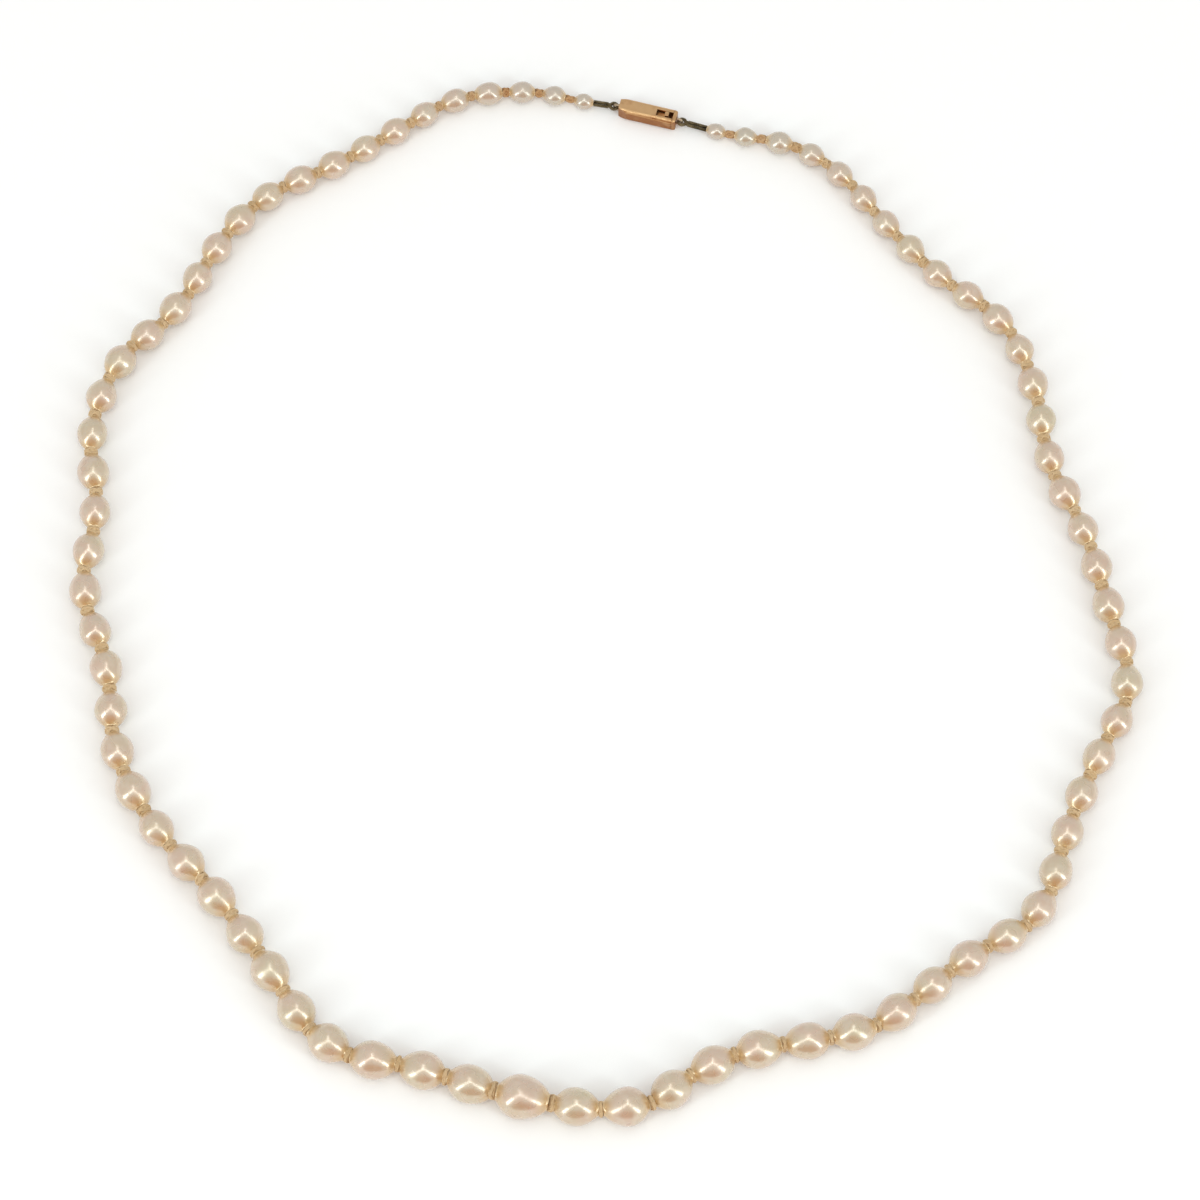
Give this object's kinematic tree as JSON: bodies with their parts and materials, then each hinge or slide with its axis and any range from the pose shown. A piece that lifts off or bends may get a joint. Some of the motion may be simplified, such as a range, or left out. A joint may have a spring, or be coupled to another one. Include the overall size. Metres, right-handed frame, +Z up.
{
  "type": "graduated pearl necklace",
  "caption": "Graduated single-strand necklace of oblong cultured pearls knotted on silk, closed by a small gold box clasp.",
  "frame": {"origin": "middle of the laid-out loop, on the surface that it lies on", "axes": "+Z up from the table; +Y towards the clasp, with the largest pearl at -Y; +X to the wearer's right of the loop as seen from above with the clasp at the far side"},
  "size_m": [0.1456, 0.1561, 0.006],
  "materials": {
    "nacre": "lustrous cream nacre with a rosy overtone",
    "silk": "aged cream silk cord, pulled into tight knots",
    "gimp": "tarnished coiled wire",
    "rose_gold": "softly worn polish",
    "spring_gold": "darker rolled spring sheet",
    "worn_gold": "greyed by wear"
  },
  "bodies": {
    "centre": {"centre_pearl": "nacre", "silk_thread": "silk", "silk_knots": "silk"},
    "left_01": {"left_pearls_01": "nacre"},
    "left_02": {"left_pearls_02": "nacre"},
    "left_03": {"left_pearls_03": "nacre"},
    "left_04": {"left_pearls_04": "nacre"},
    "left_05": {"left_pearls_05": "nacre"},
    "left_06": {"left_pearls_06": "nacre"},
    "left_07": {"left_pearls_07": "nacre"},
    "left_08": {"left_pearls_08": "nacre"},
    "left_09": {"left_pearls_09": "nacre"},
    "left_10": {"left_pearls_10": "nacre"},
    "left_11": {"left_pearls_11": "nacre"},
    "left_12": {"left_pearls_12": "nacre"},
    "left_13": {"left_pearls_13": "nacre"},
    "left_14": {"left_pearls_14": "nacre"},
    "left_15": {"left_pearls_15": "nacre"},
    "left_16": {"left_pearls_16": "nacre"},
    "left_17": {"left_pearls_17": "nacre"},
    "left_18": {"left_pearls_18": "nacre"},
    "left_19": {"left_pearls_19": "nacre", "left_gimp": "gimp"},
    "right_01": {"right_pearls_01": "nacre"},
    "right_02": {"right_pearls_02": "nacre"},
    "right_03": {"right_pearls_03": "nacre"},
    "right_04": {"right_pearls_04": "nacre"},
    "right_05": {"right_pearls_05": "nacre"},
    "right_06": {"right_pearls_06": "nacre"},
    "right_07": {"right_pearls_07": "nacre"},
    "right_08": {"right_pearls_08": "nacre"},
    "right_09": {"right_pearls_09": "nacre"},
    "right_10": {"right_pearls_10": "nacre"},
    "right_11": {"right_pearls_11": "nacre"},
    "right_12": {"right_pearls_12": "nacre"},
    "right_13": {"right_pearls_13": "nacre"},
    "right_14": {"right_pearls_14": "nacre"},
    "right_15": {"right_pearls_15": "nacre"},
    "right_16": {"right_pearls_16": "nacre"},
    "right_17": {"right_pearls_17": "nacre"},
    "right_18": {"right_pearls_18": "nacre"},
    "right_19": {"right_pearls_19": "nacre", "right_gimp": "gimp"},
    "box": {"clasp_box": "rose_gold", "box_end_cap": "rose_gold", "box_eye": "worn_gold"},
    "tongue": {"tongue_lower_leaf": "spring_gold", "tongue_end_plate": "rose_gold", "tongue_eye": "worn_gold"},
    "leaf": {"tongue_upper_leaf": "spring_gold", "thumb_tab": "rose_gold"}
  },
  "joints": [
    {"name": "strand_open", "type": "hinge", "parent": "left_02", "child": "left_03", "pos_m": [-0.03841, -0.06468, 0], "axis": [0, 0, 1], "range_deg": [0, 35.2], "deforming": ["silk_thread", "silk_knots"]},
    {"name": "right_01_flex", "type": "hinge", "parent": "centre", "child": "right_01", "pos_m": [-0.00684, -0.07474, 0], "axis": [0, 0, 1], "range_deg": [-11.2, 0]},
    {"name": "right_02_flex", "type": "hinge", "parent": "right_01", "child": "right_02", "pos_m": [0.00623, -0.07477, 0], "axis": [0, 0, 1], "range_deg": [-30.9, 0]},
    {"name": "right_03_flex", "type": "hinge", "parent": "right_02", "child": "right_03", "pos_m": [0.01702, -0.06803, 0], "axis": [0, 0, 1], "range_deg": [0, 23.6]},
    {"name": "right_04_flex", "type": "hinge", "parent": "right_03", "child": "right_04", "pos_m": [0.02959, -0.06574, 0], "axis": [0, 0, 1], "range_deg": [-13.4, 0]},
    {"name": "right_05_flex", "type": "hinge", "parent": "right_04", "child": "right_05", "pos_m": [0.04067, -0.06042, 0], "axis": [0, 0, 1], "range_deg": [-8.9, 0]},
    {"name": "right_06_flex", "type": "hinge", "parent": "right_05", "child": "right_06", "pos_m": [0.05047, -0.05303, 0], "axis": [0, 0, 1], "range_deg": [-1.7, 0]},
    {"name": "right_07_flex", "type": "hinge", "parent": "right_06", "child": "right_07", "pos_m": [0.05909, -0.04543, 0], "axis": [0, 0, 1], "range_deg": [-28.3, 0]},
    {"name": "right_08_flex", "type": "hinge", "parent": "right_07", "child": "right_08", "pos_m": [0.06256, -0.03434, 0], "axis": [0, 0, 1], "range_deg": [0, 10.9]},
    {"name": "right_09_flex", "type": "hinge", "parent": "right_08", "child": "right_09", "pos_m": [0.06762, -0.02354, 0], "axis": [0, 0, 1], "range_deg": [-6.1, 0]},
    {"name": "right_10_flex", "type": "hinge", "parent": "right_09", "child": "right_10", "pos_m": [0.07079, -0.01244, 0], "axis": [0, 0, 1], "range_deg": [-27.2, 0]},
    {"name": "right_11_flex", "type": "hinge", "parent": "right_10", "child": "right_11", "pos_m": [0.06789, -0.00102, 0], "axis": [0, 0, 1], "range_deg": [0, 1.8]},
    {"name": "right_12_flex", "type": "hinge", "parent": "right_11", "child": "right_12", "pos_m": [0.06467, 0.01021, 0], "axis": [0, 0, 1], "range_deg": [-1.8, 0]},
    {"name": "right_13_flex", "type": "hinge", "parent": "right_12", "child": "right_13", "pos_m": [0.06088, 0.02123, 0], "axis": [0, 0, 1], "range_deg": [0, 12.5]},
    {"name": "right_14_flex", "type": "hinge", "parent": "right_13", "child": "right_14", "pos_m": [0.05905, 0.0326, 0], "axis": [0, 0, 1], "range_deg": [-19.4, 0]},
    {"name": "right_15_flex", "type": "hinge", "parent": "right_14", "child": "right_15", "pos_m": [0.05344, 0.04205, 0], "axis": [0, 0, 1], "range_deg": [-17.6, 0]},
    {"name": "right_16_flex", "type": "hinge", "parent": "right_15", "child": "right_16", "pos_m": [0.04509, 0.04902, 0], "axis": [0, 0, 1], "range_deg": [0, 12.9]},
    {"name": "right_17_flex", "type": "hinge", "parent": "right_16", "child": "right_17", "pos_m": [0.03844, 0.05722, 0], "axis": [0, 0, 1], "range_deg": [0, 1.8]},
    {"name": "right_18_flex", "type": "hinge", "parent": "right_17", "child": "right_18", "pos_m": [0.03183, 0.06515, 0], "axis": [0, 0, 1], "range_deg": [-25.8, 0]},
    {"name": "right_19_flex", "type": "hinge", "parent": "right_18", "child": "right_19", "pos_m": [0.02264, 0.06915, 0], "axis": [0, 0, 1], "range_deg": [-8.1, 0]},
    {"name": "tongue_eye_swing", "type": "hinge", "parent": "right_19", "child": "tongue", "pos_m": [0.01128, 0.07219, 0], "axis": [0, 0, 1], "range_deg": [0, 1.8]},
    {"name": "left_01_flex", "type": "hinge", "parent": "centre", "child": "left_01", "pos_m": [-0.01412, -0.07317, 0], "axis": [0, 0, 1], "range_deg": [0, 4.2]},
    {"name": "left_02_flex", "type": "hinge", "parent": "left_01", "child": "left_02", "pos_m": [-0.02669, -0.06938, 0], "axis": [0, 0, 1], "range_deg": [0, 5]},
    {"name": "left_04_flex", "type": "hinge", "parent": "left_03", "child": "left_04", "pos_m": [-0.04547, -0.05392, 0], "axis": [0, 0, 1], "range_deg": [-2.8, 0]},
    {"name": "left_05_flex", "type": "hinge", "parent": "left_04", "child": "left_05", "pos_m": [-0.05309, -0.04367, 0], "axis": [0, 0, 1], "range_deg": [-2.8, 0]},
    {"name": "left_06_flex", "type": "hinge", "parent": "left_05", "child": "left_06", "pos_m": [-0.06132, -0.03398, 0], "axis": [0, 0, 1], "range_deg": [0, 19.6]},
    {"name": "left_07_flex", "type": "hinge", "parent": "left_06", "child": "left_07", "pos_m": [-0.06604, -0.02245, 0], "axis": [0, 0, 1], "range_deg": [0, 15.6]},
    {"name": "left_08_flex", "type": "hinge", "parent": "left_07", "child": "left_08", "pos_m": [-0.06785, -0.01038, 0], "axis": [0, 0, 1], "range_deg": [-4.9, 0]},
    {"name": "left_09_flex", "type": "hinge", "parent": "left_08", "child": "left_09", "pos_m": [-0.07097, 0.00113, 0], "axis": [0, 0, 1], "range_deg": [0, 23.5]},
    {"name": "left_10_flex", "type": "hinge", "parent": "left_09", "child": "left_10", "pos_m": [-0.06972, 0.01302, 0], "axis": [0, 0, 1], "range_deg": [-8.1, 0]},
    {"name": "left_11_flex", "type": "hinge", "parent": "left_10", "child": "left_11", "pos_m": [-0.07057, 0.02494, 0], "axis": [0, 0, 1], "range_deg": [0, 30.4]},
    {"name": "left_12_flex", "type": "hinge", "parent": "left_11", "child": "left_12", "pos_m": [-0.06587, 0.03556, 0], "axis": [0, 0, 1], "range_deg": [0, 20.9]},
    {"name": "left_13_flex", "type": "hinge", "parent": "left_12", "child": "left_13", "pos_m": [-0.05833, 0.04383, 0], "axis": [0, 0, 1], "range_deg": [-12.4, 0]},
    {"name": "left_14_flex", "type": "hinge", "parent": "left_13", "child": "left_14", "pos_m": [-0.05313, 0.05357, 0], "axis": [0, 0, 1], "range_deg": [0, 19.4]},
    {"name": "left_15_flex", "type": "hinge", "parent": "left_14", "child": "left_15", "pos_m": [-0.0455, 0.06112, 0], "axis": [0, 0, 1], "range_deg": [0, 19.2]},
    {"name": "left_16_flex", "type": "hinge", "parent": "left_15", "child": "left_16", "pos_m": [-0.03605, 0.06601, 0], "axis": [0, 0, 1], "range_deg": [-5.3, 0]},
    {"name": "left_17_flex", "type": "hinge", "parent": "left_16", "child": "left_17", "pos_m": [-0.02761, 0.07168, 0], "axis": [0, 0, 1], "range_deg": [0, 7.6]},
    {"name": "left_18_flex", "type": "hinge", "parent": "left_17", "child": "left_18", "pos_m": [-0.01897, 0.07622, 0], "axis": [0, 0, 1], "range_deg": [0, 25]},
    {"name": "left_19_flex", "type": "hinge", "parent": "left_18", "child": "left_19", "pos_m": [-0.00926, 0.07687, 0], "axis": [0, 0, 1], "range_deg": [0, 15.5]},
    {"name": "box_eye_swing", "type": "hinge", "parent": "left_19", "child": "box", "pos_m": [0.00152, 0.07481, 0], "axis": [0, 0, 1], "range_deg": [0, 4.5]},
    {"name": "tab_press", "type": "hinge", "parent": "tongue", "child": "leaf", "pos_m": [0.00418, 0.07409, 0.00075], "axis": [0.2588, 0.9659, 0], "range_deg": [0, 5], "stiffness_Nm_per_rad": 0.002}
  ],
  "couplings": [
    {"joint": "right_01_flex", "follows": "strand_open", "ratio": -0.3137},
    {"joint": "right_02_flex", "follows": "strand_open", "ratio": -0.8731},
    {"joint": "right_03_flex", "follows": "strand_open", "ratio": 0.6662},
    {"joint": "right_04_flex", "follows": "strand_open", "ratio": -0.3759},
    {"joint": "right_05_flex", "follows": "strand_open", "ratio": -0.25},
    {"joint": "right_06_flex", "follows": "strand_open", "ratio": -0.0454},
    {"joint": "right_07_flex", "follows": "strand_open", "ratio": -0.7991},
    {"joint": "right_08_flex", "follows": "strand_open", "ratio": 0.3041},
    {"joint": "right_09_flex", "follows": "strand_open", "ratio": -0.1688},
    {"joint": "right_10_flex", "follows": "strand_open", "ratio": -0.7693},
    {"joint": "right_11_flex", "follows": "strand_open", "ratio": 0.0455},
    {"joint": "right_12_flex", "follows": "strand_open", "ratio": -0.0455},
    {"joint": "right_13_flex", "follows": "strand_open", "ratio": 0.3497},
    {"joint": "right_14_flex", "follows": "strand_open", "ratio": -0.5465},
    {"joint": "right_15_flex", "follows": "strand_open", "ratio": -0.4971},
    {"joint": "right_16_flex", "follows": "strand_open", "ratio": 0.3626},
    {"joint": "right_17_flex", "follows": "strand_open", "ratio": 0.0455},
    {"joint": "right_18_flex", "follows": "strand_open", "ratio": -0.7291},
    {"joint": "right_19_flex", "follows": "strand_open", "ratio": -0.2259},
    {"joint": "tongue_eye_swing", "follows": "strand_open", "ratio": 0.0455},
    {"joint": "left_01_flex", "follows": "strand_open", "ratio": 0.1138},
    {"joint": "left_02_flex", "follows": "strand_open", "ratio": 0.1384},
    {"joint": "left_04_flex", "follows": "strand_open", "ratio": -0.0765},
    {"joint": "left_05_flex", "follows": "strand_open", "ratio": -0.0762},
    {"joint": "left_06_flex", "follows": "strand_open", "ratio": 0.5529},
    {"joint": "left_07_flex", "follows": "strand_open", "ratio": 0.4403},
    {"joint": "left_08_flex", "follows": "strand_open", "ratio": -0.136},
    {"joint": "left_09_flex", "follows": "strand_open", "ratio": 0.6627},
    {"joint": "left_10_flex", "follows": "strand_open", "ratio": -0.2247},
    {"joint": "left_11_flex", "follows": "strand_open", "ratio": 0.86},
    {"joint": "left_12_flex", "follows": "strand_open", "ratio": 0.59},
    {"joint": "left_13_flex", "follows": "strand_open", "ratio": -0.3471},
    {"joint": "left_14_flex", "follows": "strand_open", "ratio": 0.5466},
    {"joint": "left_15_flex", "follows": "strand_open", "ratio": 0.5424},
    {"joint": "left_16_flex", "follows": "strand_open", "ratio": -0.1449},
    {"joint": "left_17_flex", "follows": "strand_open", "ratio": 0.2118},
    {"joint": "left_18_flex", "follows": "strand_open", "ratio": 0.7054},
    {"joint": "left_19_flex", "follows": "strand_open", "ratio": 0.4347},
    {"joint": "box_eye_swing", "follows": "strand_open", "ratio": 0.1241}
  ]
}
